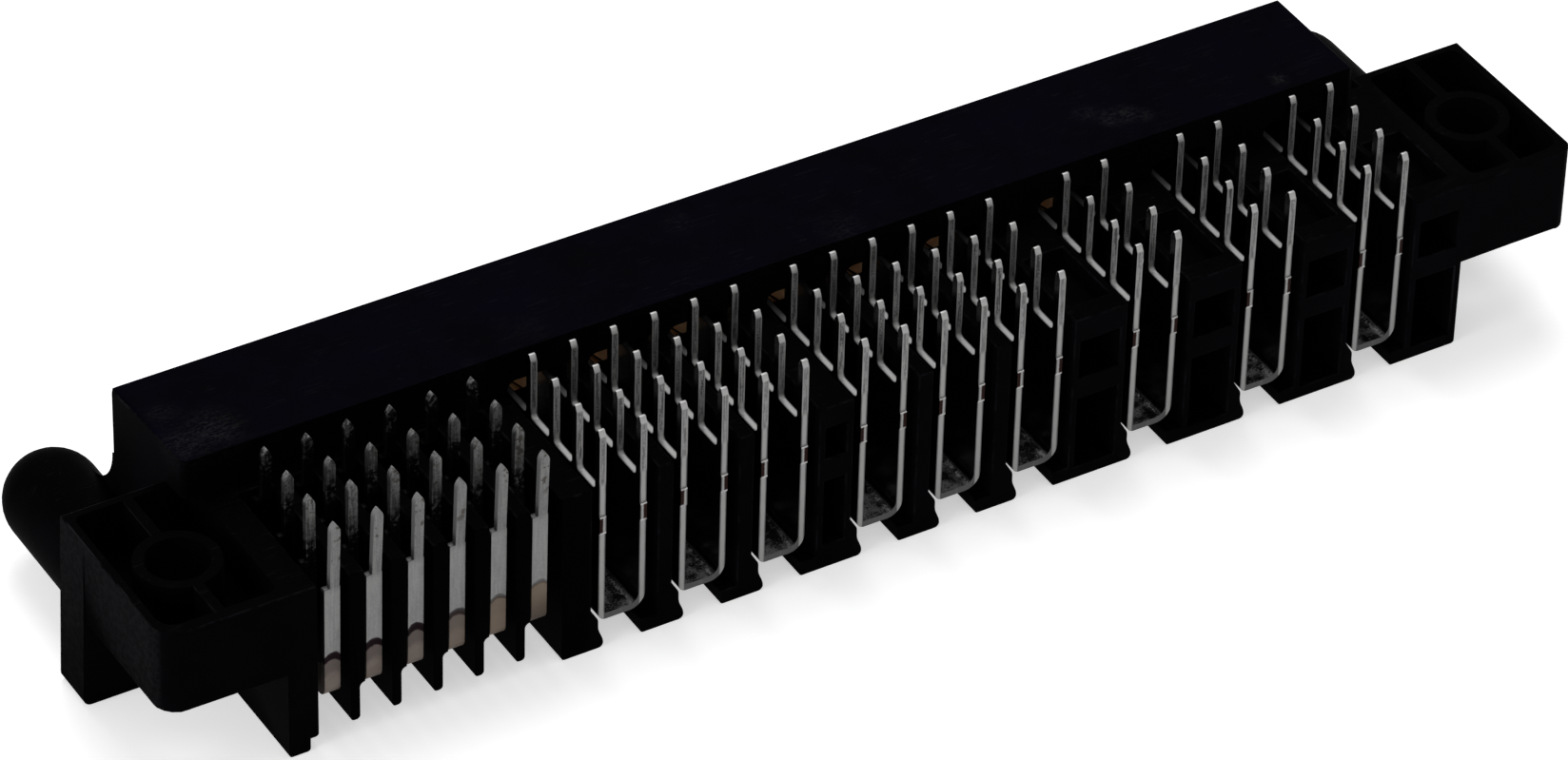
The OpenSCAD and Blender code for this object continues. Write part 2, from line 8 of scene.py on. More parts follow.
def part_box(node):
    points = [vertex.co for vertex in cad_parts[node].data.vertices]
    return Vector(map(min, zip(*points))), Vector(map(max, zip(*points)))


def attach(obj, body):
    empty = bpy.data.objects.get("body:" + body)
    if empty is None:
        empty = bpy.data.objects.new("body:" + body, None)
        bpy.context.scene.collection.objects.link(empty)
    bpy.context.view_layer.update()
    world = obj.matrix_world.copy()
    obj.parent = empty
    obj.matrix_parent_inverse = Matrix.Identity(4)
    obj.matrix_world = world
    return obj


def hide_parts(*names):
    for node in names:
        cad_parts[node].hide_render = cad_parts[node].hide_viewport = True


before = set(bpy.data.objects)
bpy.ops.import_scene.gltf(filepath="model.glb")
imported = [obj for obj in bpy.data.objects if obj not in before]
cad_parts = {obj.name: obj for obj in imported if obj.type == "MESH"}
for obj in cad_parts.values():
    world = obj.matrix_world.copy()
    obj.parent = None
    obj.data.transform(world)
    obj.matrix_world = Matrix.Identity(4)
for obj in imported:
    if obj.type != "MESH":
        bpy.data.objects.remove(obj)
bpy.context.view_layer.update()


# The housing is one moulding in black glass-filled plastic: the mating block, the comb of
# walls, two ears with screw bosses and two guide posts. It came out of the tool matt, and
# handling has rubbed the top of the block and scuffed the side of the left ear.

class Sock:
    """An output in a node tree. Sums of it add Math nodes, and node() adds any other."""

    def __init__(self, tree, socket=None):
        self.tree = tree
        self.socket = socket

    def node(self, kind, settings=None, sockets=None, out=0):
        """A new node's output, by number or identifier. Each socket takes a value or a link."""
        made = self.tree.nodes.new(kind)
        for name, value in (settings or {}).items():
            setattr(made, name, value)
        for name, value in (sockets or {}).items():
            found = [s for s in made.inputs if s.identifier == name]
            socket = found[0] if found else made.inputs[name]
            if isinstance(value, Sock):
                self.tree.links.new(value.socket, socket)
            else:
                socket.default_value = value
        ends = [s for k, s in enumerate(made.outputs) if out in (k, s.identifier)]
        return Sock(self.tree, ends[0] if ends else None)

    def maths(self, operation, a, b=0.0):
        return self.node("ShaderNodeMath", {"operation": operation}, {"Value": a, "Value_001": b})

    def __add__(self, other):
        return self.maths("ADD", self, other)

    def __sub__(self, other):
        return self.maths("SUBTRACT", self, other)

    def __rsub__(self, other):
        return self.maths("SUBTRACT", other, self)

    def __mul__(self, other):
        return self.maths("MULTIPLY", self, other)

    def __abs__(self):
        return self.maths("ABSOLUTE", self)

    __radd__ = __add__
    __rmul__ = __mul__

    def rise(self, low, high):
        """0 below low, 1 above high, and smooth between them."""
        return self.node("ShaderNodeMapRange", {"interpolation_type": "SMOOTHSTEP"},
                         {"Value": self, "From Min": low, "From Max": high})

    def mix(self, a, b):
        """Colour a where this is 0, colour b where it is 1."""
        return self.node("ShaderNodeMix", {"data_type": "RGBA"},
                         {"Factor_Float": self, "A_Color": a, "B_Color": b}, out="Result_Color")

    def noise(self, place, scale, detail=2.0, rough=0.5):
        """Noise from 0 to 1, with about scale humps in each unit of the place."""
        return self.node("ShaderNodeTexNoise", None,
                         {"Vector": place, "Scale": scale, "Detail": detail, "Roughness": rough})

    def scaled(self, by):
        """This vector times another, one number for each of X, Y and Z."""
        return self.node("ShaderNodeVectorMath", {"operation": "MULTIPLY"},
                         {"Vector": self, "Vector_001": by})

    def axes(self):
        split = self.node("ShaderNodeSeparateXYZ", None, {"Vector": self}).socket.node
        return [Sock(self.tree, split.outputs[k]) for k in range(3)]

    def near(self, point, radius):
        """1 at a point, falling to 0 at a radius from it."""
        away = self.node("ShaderNodeVectorMath", {"operation": "DISTANCE"},
                         {"Vector": self, "Vector_001": point}, out="Value")
        return 1 - away.rise(0.0, radius)

    def turned(self, angle, size):
        """This vector turned about Z by an angle in degrees, then stretched."""
        return self.node("ShaderNodeMapping", None,
                         {"Vector": self, "Rotation": (0, 0, math.radians(angle)), "Scale": size})


MM = 1000.0


def new_finish(name):
    """A material with an empty tree, the place on the piece in mm, and the way the surface faces."""
    material = bpy.data.materials.new(name)
    material.use_nodes = True
    tree = material.node_tree
    tree.nodes.clear()
    start = Sock(tree)
    place = start.node("ShaderNodeTexCoord", out="Object").scaled((MM, MM, MM))
    facing = start.node("ShaderNodeNewGeometry", out="True Normal")
    return material, start, place, facing


def set_surface(start, height, strength, distance, sockets):
    """The shader, with a bump from height, of this strength and of this distance in metres."""
    normal = start.node("ShaderNodeBump", None,
                        {"Strength": strength, "Distance": distance, "Height": height})
    shader = start.node("ShaderNodeBsdfPrincipled", None, {**sockets, "Normal": normal})
    start.node("ShaderNodeOutputMaterial", None, {"Surface": shader})


def grey(level, warmth=0.0):
    return (level * (1 + warmth), level, level * (1 - warmth), 1.0)


# Places on the moulding in mm. A pair is where a change along an axis begins and ends.
BLOCK_TOP = 13.85
BLOCK_TOP_FROM = (13.0, 13.5)
FEET_TO_SEAT = (0.0, 11.25)
EAR_SIDE_TO = (-44.4, -43.9)
LEFT_EAR_TO = (-38.0, -37.0)
RIGHT_EAR_FROM = (36.0, 37.0)
RIBS_FROM = (-35.2, -34.8)
RIBS_TO = (-19.6, -19.2)
COMB_TO = (-10.0, -9.0)
POST_ENDS_FROM = (8.0, 9.0)
PALER_ALONG = (-30.0, 46.0)

# Rubbed places on the block's top: x, y and reach in mm, and how strong.
RUBS = [(-36.2, -0.5, 2.6, 0.8), (-38.0, -0.8, 2.2, 0.8), (-37.9, 1.9, 1.6, 0.4), (-17.2, -0.8, 2.2, 0.15),
        (-21.2, -2.6, 1.4, 0.2), (-5.0, 3.4, 1.4, 0.3), (2.8, -1.4, 2.0, 0.4), (20.6, 1.2, 1.2, 0.6),
        (21.6, 0.2, 1.3, 1.0), (22.6, 0.1, 1.2, 1.0), (23.4, -0.5, 0.9, 0.7), (32.0, -1.3, 0.9, 1.0)]

SIDE_DARK, SIDE_PALE = (0.0006, 0.0006, 0.0008, 1), (0.0024, 0.0024, 0.0032, 1)
# painted shade between the ribs of the comb
SHADE_BETWEEN_RIBS = (0.0002, 0.0002, 0.0003, 1)
# painted shade on the faces that look up
SHADED_TOPS = (0.0005, 0.0005, 0.0007, 1)
# painted light that makes the mating face, the right end and the underside paler
LIT_FACE_DARK, LIT_FACE_PALE = (0.0034, 0.0034, 0.0040, 1), (0.0056, 0.0056, 0.0066, 1)
POST_ENDS = (0.0006, 0.0006, 0.0008, 1)
# the block's top: a cloudy tone with a painted bluish reflection
TOP_REFLECTION_DARK, TOP_REFLECTION_PALE = (0.0007, 0.0006, 0.0014, 1), (0.0012, 0.0010, 0.0032, 1)
# dust, which on the rounded edges also stands for a painted highlight
DUST_AND_EDGE_HIGHLIGHT = (0.0080, 0.0077, 0.0090, 1)
# rubbed places, and on the ears' chipped edges also a painted highlight
RUBBED_AND_EDGE_HIGHLIGHT = (0.0150, 0.0145, 0.0165, 1)
EAR_DARK, EAR_SCUFFED = (0.0, 0.0, 0.0, 1), (0.0062, 0.0060, 0.0068, 1)


def moulding_finish():
    material, start, place, facing = new_finish("black_moulding")
    x, y, z = place.axes()
    fx, fy, fz = facing.axes()
    upward = fz.rise(0.5, 0.9)
    cloud = start.noise(place, 0.22, 4.0, 0.6)
    cloudy = cloud.rise(0.3, 0.7)
    grain = start.noise(place, 5.0, 3.0, 0.6)
    fibres = start.noise(place.turned(18, (0.5, 3.2, 3.2)), 2.0)

    # the moulded colour, with painted shade: darkest between the ribs and dark on the faces that look up,
    # a painted bluish reflection on the block's top, and painted light that makes the mating face, the right
    # end and the underside paler, so that their forms stay readable
    fade = 0.5 * cloudy + 0.5 * x.rise(*PALER_ALONG)
    plain = fade.mix(SIDE_DARK, SIDE_PALE)
    # painted shade between the ribs
    rib_shade = (1 - y.rise(*COMB_TO)) * x.rise(*RIBS_FROM) * (1 - x.rise(*RIBS_TO))
    plain = rib_shade.mix(plain, SHADE_BETWEEN_RIBS)
    # painted shade on the faces that look up
    plain = upward.mix(plain, SHADED_TOPS)
    # painted light on the faces turned to the mating side, the right end and the underside
    lit_faces = start.maths("MAXIMUM", start.maths("MAXIMUM", fy, fx), 0 - fz).rise(0.6, 0.9)
    plain = lit_faces.mix(plain, cloudy.mix(LIT_FACE_DARK, LIT_FACE_PALE))
    plain = y.rise(*POST_ENDS_FROM).mix(plain, POST_ENDS)
    # a painted bluish reflection on the block's top, over a cloudy tone
    block_top = upward * z.rise(*BLOCK_TOP_FROM)
    plain = block_top.mix(plain, cloudy.mix(TOP_REFLECTION_DARK, TOP_REFLECTION_PALE))

    # dust in specks, dust with a painted highlight on the rounded edges, and fine scratches two ways over the
    # faces that look up
    rim = start.node("ShaderNodeAttribute", {"attribute_name": "rim"}, out="Fac")
    # dust on the rounded edges, also a painted highlight there
    edge_wear_and_highlight = rim * start.noise(place, 0.8, 4.0, 0.7).rise(0.40, 0.66)
    specks = start.noise(place, 7.0).rise(0.68, 0.73)
    specks = specks * start.noise(place, 0.6).rise(0.48, 0.60)
    scratches = start.noise(place.turned(31, (0.35, 9.0, 1.0)), 1.0, 1.0, 0.4).rise(0.63, 0.67)
    crossing = start.noise(place.turned(-24, (0.3, 11.0, 1.0)), 1.0, 1.0, 0.4).rise(0.64, 0.68)
    scratches = (scratches + crossing) * start.noise(place, 0.9).rise(0.5, 0.62) * upward
    wear_and_edge_highlight = scratches * 0.25 + edge_wear_and_highlight * 0.6 + specks * 0.7
    worn = wear_and_edge_highlight.mix(plain, DUST_AND_EDGE_HIGHLIGHT)

    # rubbed places on the block's top, and chipped edges on the ears that also carry a painted highlight
    rubbed = 0.0
    for rub_x, rub_y, reach, strength in RUBS:
        rub = place.near((rub_x, rub_y, BLOCK_TOP), reach) * strength
        rubbed = start.maths("MAXIMUM", rub, rubbed)
    streaks = start.noise(place.turned(24, (1.2, 6.0, 3.0)), 1.6, 4.0, 0.7)
    patchy = (0.5 * streaks + 0.5 * start.noise(place, 5.0, 6.0, 0.8)).rise(0.44, 0.62)
    # chipped ear edges, also a painted highlight along them
    chipped_and_highlit = rim * start.noise(place, 0.28, 3.0, 0.6).rise(0.50, 0.60)
    ears = 1 - x.rise(*LEFT_EAR_TO) * (1 - x.rise(*RIGHT_EAR_FROM))
    worn = (rubbed * patchy + chipped_and_highlit * ears * 0.55).mix(worn, RUBBED_AND_EDGE_HIGHLIGHT)

    # the side of the left ear, scuffed all over, and paler towards the top
    outward = 0 - start.node("ShaderNodeNewGeometry", out="Normal").axes()[0]
    ear_side = (1 - x.rise(*EAR_SIDE_TO)) * outward.rise(0.80, 0.97)
    mottle = start.noise(place, 2.6, 5.0, 0.8).rise(0.45, 0.56)
    scuff = (0.33 + 0.50 * z.rise(*FEET_TO_SEAT)) * (0.70 + 0.56 * mottle)
    worn = ear_side.mix(worn, scuff.mix(EAR_DARK, EAR_SCUFFED))

    height = grain * 0.6 + fibres * 0.4 + scratches * -1.2
    set_surface(start, height, strength=0.35, distance=0.00003, sockets={
        "Base Color": worn,
        "Roughness": 0.46 + 0.2 * cloud + 0.1 * grain + 0.12 * wear_and_edge_highlight + 0.20 * ear_side,
        "Specular IOR Level": 0.004,
    })
    return material


# How a copy of CAD nodes is merged and softened: lengths in metres, angles in degrees.
MERGE_WITHIN = 0.000002
FLAT_WITHIN = 0.6
OUTER_OVER = 35
SHARP_OVER = 32
ROOM_FOR_ROUNDING = 2.2
HOUSING_ROUNDING, HOUSING_EDGE_OVER = 0.00009, 0.0006
CONTACT_ROUNDING, CONTACT_EDGE_OVER = 0.00004, 0.00015


def softened(name, nodes, width, least):
    """A merged copy of CAD nodes, with outer edges longer than least rounded by width, and marked."""
    merged = bmesh.new()
    for node in nodes:
        merged.from_mesh(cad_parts[node].data)
    bmesh.ops.remove_doubles(merged, verts=merged.verts, dist=MERGE_WITHIN)
    bmesh.ops.dissolve_limit(merged, angle_limit=math.radians(FLAT_WITHIN), verts=merged.verts,
                             edges=merged.edges)
    rim = merged.faces.layers.float.new("rim")
    room = ROOM_FOR_ROUNDING * width
    roomy = {v for v in merged.verts if all(e.calc_length() > room for e in v.link_edges)}
    outer = [e for e in merged.edges if e.is_manifold and e.is_convex and roomy.issuperset(e.verts)
             and e.calc_face_angle() > math.radians(OUTER_OVER) and e.calc_length() > least]
    rounded = bmesh.ops.bevel(merged, geom=outer, offset=width, offset_type="OFFSET", segments=2,
                              profile=0.5, affect="EDGES", clamp_overlap=False)
    for face in rounded["faces"]:
        face[rim] = 1.0
    mesh = bpy.data.meshes.new(name)
    merged.to_mesh(mesh)
    merged.free()
    mesh.polygons.foreach_set("use_smooth", [True] * len(mesh.polygons))
    mesh.set_sharp_from_angle(angle=math.radians(SHARP_OVER))
    piece = bpy.data.objects.new(name, mesh)
    bpy.context.scene.collection.objects.link(piece)
    return piece


def settle(piece, material, nodes):
    """Bakes a piece's modifiers into its mesh, and lets it stand for its CAD nodes."""
    shaded = piece.modifiers.new("even_shading", "WEIGHTED_NORMAL")
    shaded.keep_sharp = True
    now = piece.evaluated_get(bpy.context.evaluated_depsgraph_get())
    mesh = bpy.data.meshes.new_from_object(now)
    piece.modifiers.clear()
    piece.data = mesh
    mesh.materials.clear()
    mesh.materials.append(material)
    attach(piece, "root")
    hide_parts(*nodes)


housing = softened("moulded_housing", ["housing"], HOUSING_ROUNDING, HOUSING_EDGE_OVER)
settle(housing, moulding_finish(), ["housing"])


# Nine power contacts, each folded from a 0.4 mm strip of tinned copper alloy into a U of two
# plates with four tails each. The sheared edges are brighter than the faces. Inside the block
# the faces are painted dark as shade, and the bare alloy shows in a painted pool of light and on the beams.

CONTACTS = [f"power_contact_{i}" for i in range(1, 10)]

# The row in metres: two groups of three close together, a middle step between, then wide steps.
GROUP = 3
CLOSE_STEP, MID_STEP, WIDE_STEP = 0.00508, 0.00635, 0.00762

# Places on a contact in mm. A pair is where a change along an axis begins and ends.
SHEET = 0.4
PLATE_GAP = 2.54
FIRST_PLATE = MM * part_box("power_contact_1")[0].x + SHEET / 2
RIGHT_PLATE_FROM = (1.2, 1.3)
WEB_TO = (2.4, 2.8)
WEB_END, WEB_FADE = 11.6, 0.014
IN_BLOCK_FROM = (-5.0, -3.0)
BEAMS_FROM = (3.3, 3.6)
PLATE_TOPS_FROM = (9.0, 10.0)
TAILS_FROM = (10.9, 11.3)
TIPS_FROM = (14.28, 14.36)
REAR_ROW_TO = (-11.0, -10.0)
REAR_EDGE_TO = (-11.9, -11.7)
MARK_FROM, MARK_TO = (7.75, 7.85), (8.75, 8.85)
BURR_FROM, BURR_TO = (7.6, 7.7), (8.88, 8.98)
STAIN_TO = (0.9, 1.3)
# a slanting band near the block where a painted pool of light shows the bare alloy
LIT_PATCH_SLOPE, LIT_PATCH_OVER = 0.9, (9.10, 9.25)
LIT_PATCH_FROM = (0.45, 0.60)
LIT_PATCH_TO = (20.0, 21.0)

FACE_DULL, FACE_BRIGHT = grey(0.12), grey(0.20, 0.01)
# the floor of the U painted dark as shade, with painted glints
WEB_SHADE, WEB_GLINT = grey(0.003), grey(0.13, 0.01)
# painted shade inside the block
IN_BLOCK_SHADE = grey(0.008)
EDGE_DULL, EDGE_BRIGHT = grey(0.07), grey(0.24, 0.01)
# the last of these is a painted highlight on the tails' tips
TAIL_PALE, TAIL_SEAM, TAIL_TIP_HIGHLIGHT = grey(0.22, 0.01), grey(0.045), grey(0.30, 0.01)
ALLOY_RED, ALLOY_GOLD = (0.80, 0.50, 0.28, 1), (0.95, 0.70, 0.42, 1)
BEAM_RED, BEAM_GOLD = (0.34, 0.21, 0.11, 1), (0.46, 0.30, 0.16, 1)
BURR = grey(0.40, 0.01)
STAIN = (0.130, 0.065, 0.055, 1)
TORN = (0.012, 0.004, 0.003, 1)


def power_finish():
    material, start, place, facing = new_finish("power_tin")
    x, y, z = place.axes()
    fy, fz = facing.axes()[1:]

    # the place across one contact and across its sheet: each copy keeps how far along it stands
    along = start.node("ShaderNodeAttribute", {"attribute_name": "along"}, out="Fac") * MM
    across = x - along - FIRST_PLATE
    right_plate = across.rise(*RIGHT_PLATE_FROM)
    sideways = across - PLATE_GAP * right_plate
    thick = abs(sideways)
    outward = sideways * (2.0 * right_plate - 1.0)

    cloud = start.noise(place, 1.3, 5.0, 0.65)
    cloudy = cloud.rise(0.3, 0.7)
    specks = start.noise(place, 9.0, 4.0, 0.75)
    drawn = start.noise(place.scaled((9.0, 9.0, 0.7)), 1.0, 3.0, 0.6)

    # smooth rolled faces, and the floor of the U painted dark as shade, with painted glints in specks, fewer
    # away from its rear end
    broad = (0.5 * drawn + 0.5 * specks).rise(0.36, 0.66).mix(FACE_DULL, FACE_BRIGHT)
    web = fz.rise(0.6, 0.9) * (1 - z.rise(*WEB_TO))
    web_glints = web * (0.5 * specks + 0.5 * cloud - WEB_FADE * (y + WEB_END)).rise(0.45, 0.58)
    broad = web.mix(broad, WEB_SHADE)
    broad = web_glints.mix(broad, WEB_GLINT)
    # painted shade on the faces inside the block
    broad = y.rise(*IN_BLOCK_FROM).mix(broad, IN_BLOCK_SHADE)

    # sheared edges, bright in the middle of the sheet, but with a dark seam up the tails, and a painted
    # highlight on the tips
    sheared = start.maths("MAXIMUM", abs(fy), fz * z.rise(*PLATE_TOPS_FROM)).rise(0.5, 0.8)
    core = 1 - (thick + 0.05 * cloud).rise(0.10, 0.22) * (1 - web)
    edge = (0.35 * drawn + 0.65 * core).rise(0.15, 0.8).mix(EDGE_DULL, EDGE_BRIGHT)
    seam = core * (0.5 * specks + 0.5 * drawn).rise(0.40, 0.56) * (0.70 + 0.30 * y.rise(*REAR_ROW_TO))
    edge = z.rise(*TAILS_FROM).mix(edge, seam.mix(TAIL_PALE, TAIL_SEAM))
    edge = z.rise(*TIPS_FROM).mix(edge, TAIL_TIP_HIGHLIGHT)
    tin = sheared.mix(broad, edge)

    # bare alloy in a painted pool of light above a slanting edge near the block, and bare alloy all over the
    # beams inside it
    beams = y.rise(*BEAMS_FROM)
    alloy = beams.mix(cloudy.mix(ALLOY_RED, ALLOY_GOLD), cloudy.mix(BEAM_RED, BEAM_GOLD))
    bare_and_lit = (z + LIT_PATCH_SLOPE * y + 0.3 * cloud).rise(*LIT_PATCH_OVER) * y.rise(*LIT_PATCH_FROM) * (1 - x.rise(*LIT_PATCH_TO))
    bare_and_lit = start.maths("MAXIMUM", bare_and_lit, beams)
    colour = bare_and_lit.mix(tin, alloy)

    # on the rear edge a torn place with a bright burr round it, and a stain at the foot
    mark = (z.rise(*MARK_FROM) - z.rise(*MARK_TO)) * sheared * (1 - y.rise(*REAR_EDGE_TO))
    burr = (z.rise(*BURR_FROM) - z.rise(*BURR_TO)) * sheared * (1 - y.rise(*REAR_EDGE_TO)) * (1 - mark)
    burr = burr * (0.6 * cloud + 0.4 * specks).rise(0.42, 0.52)
    colour = burr.mix(colour, BURR)
    stain = sheared * (1 - z.rise(*STAIN_TO)) * (0.5 * cloud + 0.5 * specks).rise(0.50, 0.56)
    colour = (0.7 * stain).mix(colour, STAIN)
    torn = mark * (outward + 0.1 * specks).rise(0.0, 0.08)
    colour = torn.mix(colour, TORN)

    unpolished = start.maths("MAXIMUM", start.maths("MAXIMUM", sheared, web), bare_and_lit)
    height = specks * 0.5 + drawn * sheared
    set_surface(start, height, strength=0.4, distance=0.00002, sockets={
        "Base Color": colour,
        "Metallic": 1.0,
        "Roughness": 0.10 + 0.12 * cloud + 0.34 * unpolished,
    })
    return material


def new_tree(name, shape, sizes):
    """A Geometry Nodes tree whose inputs are a shape and named sizes, with their sockets and keys."""
    tree = bpy.data.node_groups.new(name, "GeometryNodeTree")
    tree.interface.new_socket(shape, in_out="INPUT", socket_type="NodeSocketGeometry")
    keys = {}
    for label, value in sizes.items():
        kind = "NodeSocketInt" if isinstance(value, int) else "NodeSocketFloat"
        keys[label] = tree.interface.new_socket(label, in_out="INPUT", socket_type=kind).identifier
    tree.interface.new_socket("Result", in_out="OUTPUT", socket_type="NodeSocketGeometry")
    start = Sock(tree)
    given = start.node("NodeGroupInput").socket.node
    size = {label: Sock(tree, given.outputs[label]) for label in sizes}
    return start, Sock(tree, given.outputs[shape]), size, keys


def in_a_line(start, shape, count, along):
    """Real copies of a shape on points along X. Each keeps how far along it stands."""
    line = start.node("GeometryNodeMeshLine", None, {"Count": count, "Offset": (0.0, 0.0, 0.0)})
    kept = start.node("GeometryNodeStoreNamedAttribute", {"data_type": "FLOAT", "domain": "POINT"},
                      {"Geometry": line, "Name": "along", "Value": along})
    spread = start.node("GeometryNodeSetPosition", None, {
        "Geometry": kept, "Offset": start.node("ShaderNodeCombineXYZ", None, {"X": along})})
    copies = start.node("GeometryNodeInstanceOnPoints", None, {"Points": spread, "Instance": shape})
    return start.node("GeometryNodeRealizeInstances", None, {"Geometry": copies})


def use_tree(piece, start, geometry, material, sizes, keys):
    """Ends a tree with its material, and puts it on a piece."""
    done = start.node("GeometryNodeSetMaterial", None, {"Geometry": geometry, "Material": material})
    start.node("NodeGroupOutput", None, {"Result": done})
    made = piece.modifiers.new(start.tree.name, "NODES")
    made.node_group = start.tree
    for label, value in sizes.items():
        made[keys[label]] = value


def contact_row(piece, material):
    """Repeats the first contact along the row: groups of three close together, then wide steps."""
    sizes = {"Count": len(CONTACTS), "Group": GROUP, "Close step": CLOSE_STEP, "Mid step": MID_STEP,
             "Wide step": WIDE_STEP}
    start, contact, size, keys = new_tree("contact_row", "Contact", sizes)
    index = start.node("GeometryNodeInputIndex")
    first = start.maths("LESS_THAN", index, 0.5)
    wide = start.maths("GREATER_THAN", index, size["Group"] * 2 - 0.5)
    mid = start.maths("COMPARE", index, size["Group"])
    close = 1 - first - wide - mid
    step = close * size["Close step"] + mid * size["Mid step"] + wide * size["Wide step"]
    along = start.node("GeometryNodeAccumulateField", {"data_type": "FLOAT"}, {"Value": step})
    row = in_a_line(start, contact, size["Count"], along)
    use_tree(piece, start, row, material, sizes, keys)


power_tin = power_finish()
power = softened("power_contacts", CONTACTS[:1], CONTACT_ROUNDING, CONTACT_EDGE_OVER)
contact_row(power, power_tin)
settle(power, power_tin, CONTACTS)


# Twenty-four signal contacts in six columns and four rows, stamped and bent from copper alloy.
# Each is a bar with a bend into the block and a narrow pointed tail, tin-plated above a dark
# line, and dull tan below it where the plating ends.

ROWS = [f"r{r}" for r in range(1, 5)]
COLUMNS = [f"signal_contact_c{c}" for c in range(1, 7)]

# The grid in metres, and how its tails lean above the seat: each its own way by up to TAIL_LEAN
# at the tip, as LEAN_RATE is 1 over a tail's length, all to the right by SIDE_LEAN for each metre
# of height, and the first row backwards by BACK_LEAN from BEND_START up.
COLUMN_STEP = 0.00254
SEAT = 0.01125
TAIL_LEAN = 0.00006
LEAN_RATE = 285.0
SIDE_LEAN = 0.015
BACK_LEAN = 0.038
BEND_START = 0.0074
FIRST_ROW_TO = -0.0105
LEAN_SEED = 7

# Places on a contact in mm. A pair is where a change along an axis begins and ends.
FIRST_COLUMN = sum(MM * corner.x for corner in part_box("signal_contact_c1_r1")) / 2
TAILS_OVER = (9.9, 10.5)
INNER_TAILS_FROM = (-10.9, -10.6)
INNER_FROM = (-10.6, -10.3)
PITS_OVER = (11.5, 12.5)
SHOULDERS_TO = (11.5, 12.0)
SHADE_SLOPE, SHADE_HEIGHT, SHADE_OVER = 0.48, 15.48, (-0.8, 0.6)
LINE_BOW = 1.1
LINE_FROM, LINE_TO, LINE_THINNER = (5.48, 5.62), (6.02, 6.14), 0.26
TAN_TO = (5.86, 5.96)
BAND_FROM = (4.70, 5.20)
FOOT_TO = (3.4, 5.2)
LAST_COLUMN_FROM = (11.0, 12.0)
WORN_PER_MM = 0.079

BAR_DULL, BAR_BRIGHT = grey(0.155), grey(0.20, 0.01)
TAIL_DULL, TAIL_BRIGHT = grey(0.105), grey(0.155, 0.01)
STREAK_DULL, STREAK_BRIGHT = grey(0.055), grey(0.20, 0.01)
PIT = grey(0.050, 0.1)
BAR_FLANK, TAIL_FLANK = grey(0.03), grey(0.14)
FLANK_DULL, FLANK_BRIGHT = grey(0.06), grey(0.16)
SHADE_DARK, SHADE_PALE = grey(0.002), grey(0.010)
# painted shade on the shoulders that look up
SHOULDER_SHADE, INNER_SHOULDER_SHADE = grey(0.05), grey(0.003)
TAN_DARK, TAN_PALE = (0.135, 0.108, 0.095, 1), (0.175, 0.148, 0.132, 1)
TAN_WORN = (0.165, 0.130, 0.100, 1)
TAN_BAND = (0.105, 0.088, 0.081, 1)
TAN_FOOT = (0.090, 0.072, 0.058, 1)
PLATING_LINE = (0.009, 0.0045, 0.006, 1)


